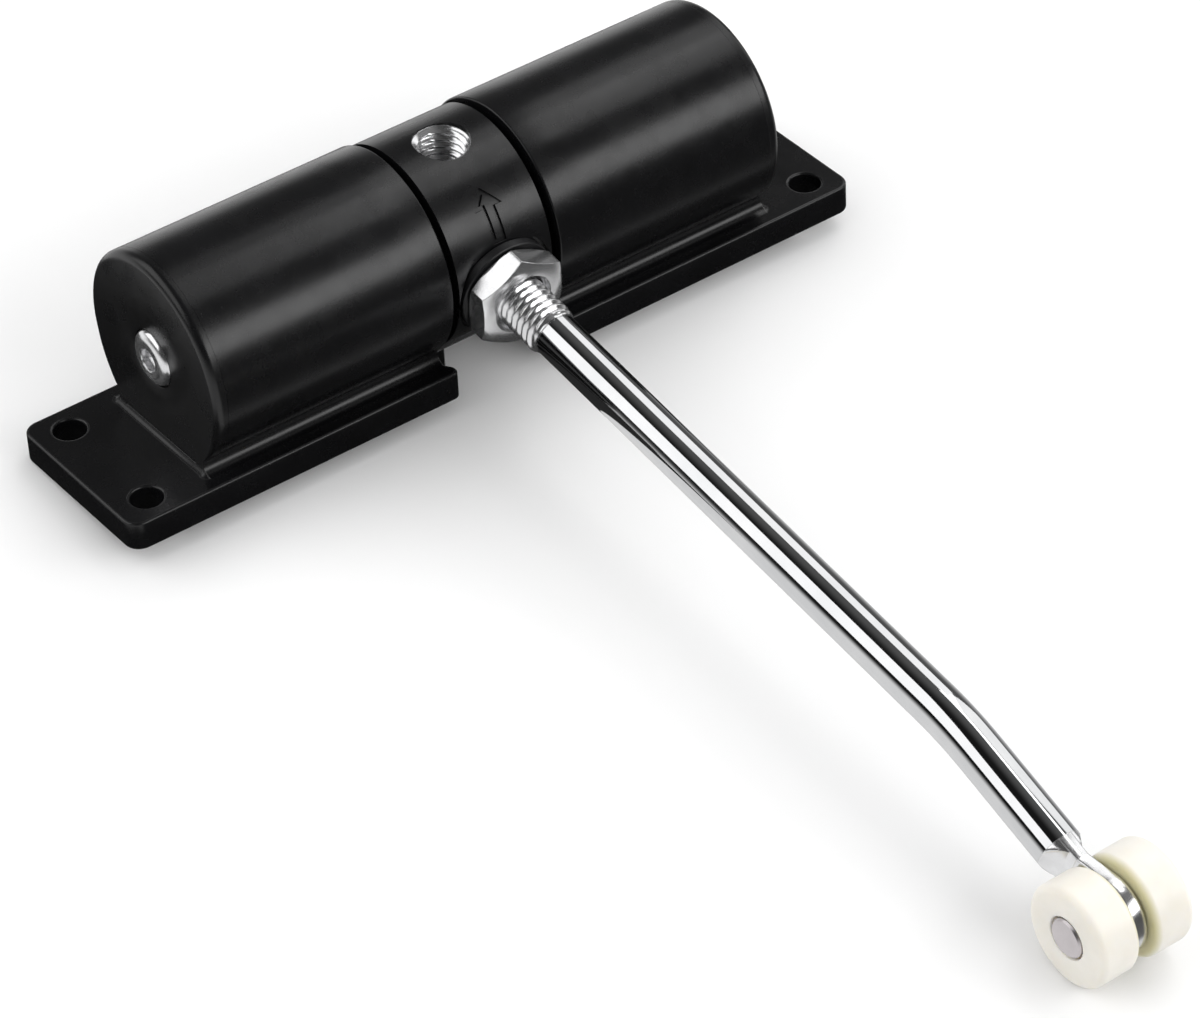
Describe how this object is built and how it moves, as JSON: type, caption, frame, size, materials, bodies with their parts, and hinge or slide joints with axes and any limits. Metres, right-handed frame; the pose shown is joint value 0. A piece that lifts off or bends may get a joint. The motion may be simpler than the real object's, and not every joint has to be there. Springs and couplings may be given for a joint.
{
  "type": "door closer",
  "caption": "Spring door closer: flat base with two barrels, a sprung drum between them and a bent bright arm that ends in two rollers.",
  "frame": {"origin": "centre of the mounting face under the base plate, on the axis of the fixing hole pattern", "axes": "+Z out of the mounting face, +X along the spring barrels, the arm points towards -Y"},
  "size_m": [0.16, 0.2119, 0.0658],
  "materials": {
    "black_paint": "semi-gloss",
    "cap_black": "satin",
    "drum_black": "semi-gloss",
    "dark_steel": "satin",
    "steel": "ground",
    "spring_steel": "oiled",
    "bronze": "turned",
    "black_nylon": "matt",
    "washer_black": "blackened",
    "bright_zinc": "bright zinc plated",
    "chrome": "polished",
    "pin_metal": "turned",
    "ivory_nylon": "smooth"
  },
  "bodies": {
    "base": {"body_casting": "black_paint", "end_cap_left": "cap_black", "end_cap_right": "cap_black", "end_screws": "dark_steel", "axle": "steel", "axle_clips": "spring_steel", "bush_left": "bronze", "bush_right": "bronze", "thrust_washer_left": "black_nylon", "thrust_washer_right": "black_nylon", "spring_left": "spring_steel", "spring_right": "spring_steel", "anchor_pins": "steel", "cap_dowels": "steel"},
    "arm": {"drum": "drum_black", "hub_left": "dark_steel", "hub_right": "dark_steel", "hub_keys": "steel", "drive_pins": "steel", "arm_washer": "washer_black", "lock_nut": "bright_zinc", "arm_rod": "chrome", "roller_pin": "pin_metal", "roller_washers": "steel", "pin_end_washer": "pin_metal"},
    "left_roller": {"roller_left": "ivory_nylon"},
    "right_roller": {"roller_right": "ivory_nylon"}
  },
  "joints": [
    {"name": "arm_swing", "type": "hinge", "parent": "base", "child": "arm", "pos_m": [0, 0, 0.0232], "axis": [-1, 0, 0], "range_deg": [0, 180], "stiffness_Nm_per_rad": 1.2, "springref_deg": -28.65, "deforming": ["spring_left", "spring_right"]},
    {"name": "left_roller_spin", "type": "hinge", "parent": "arm", "child": "left_roller", "pos_m": [-0.00575, -0.18241, -0.01312], "axis": [1, 0, 0], "continuous": true},
    {"name": "right_roller_spin", "type": "hinge", "parent": "arm", "child": "right_roller", "pos_m": [0.00575, -0.18241, -0.01312], "axis": [1, 0, 0], "continuous": true}
  ]
}
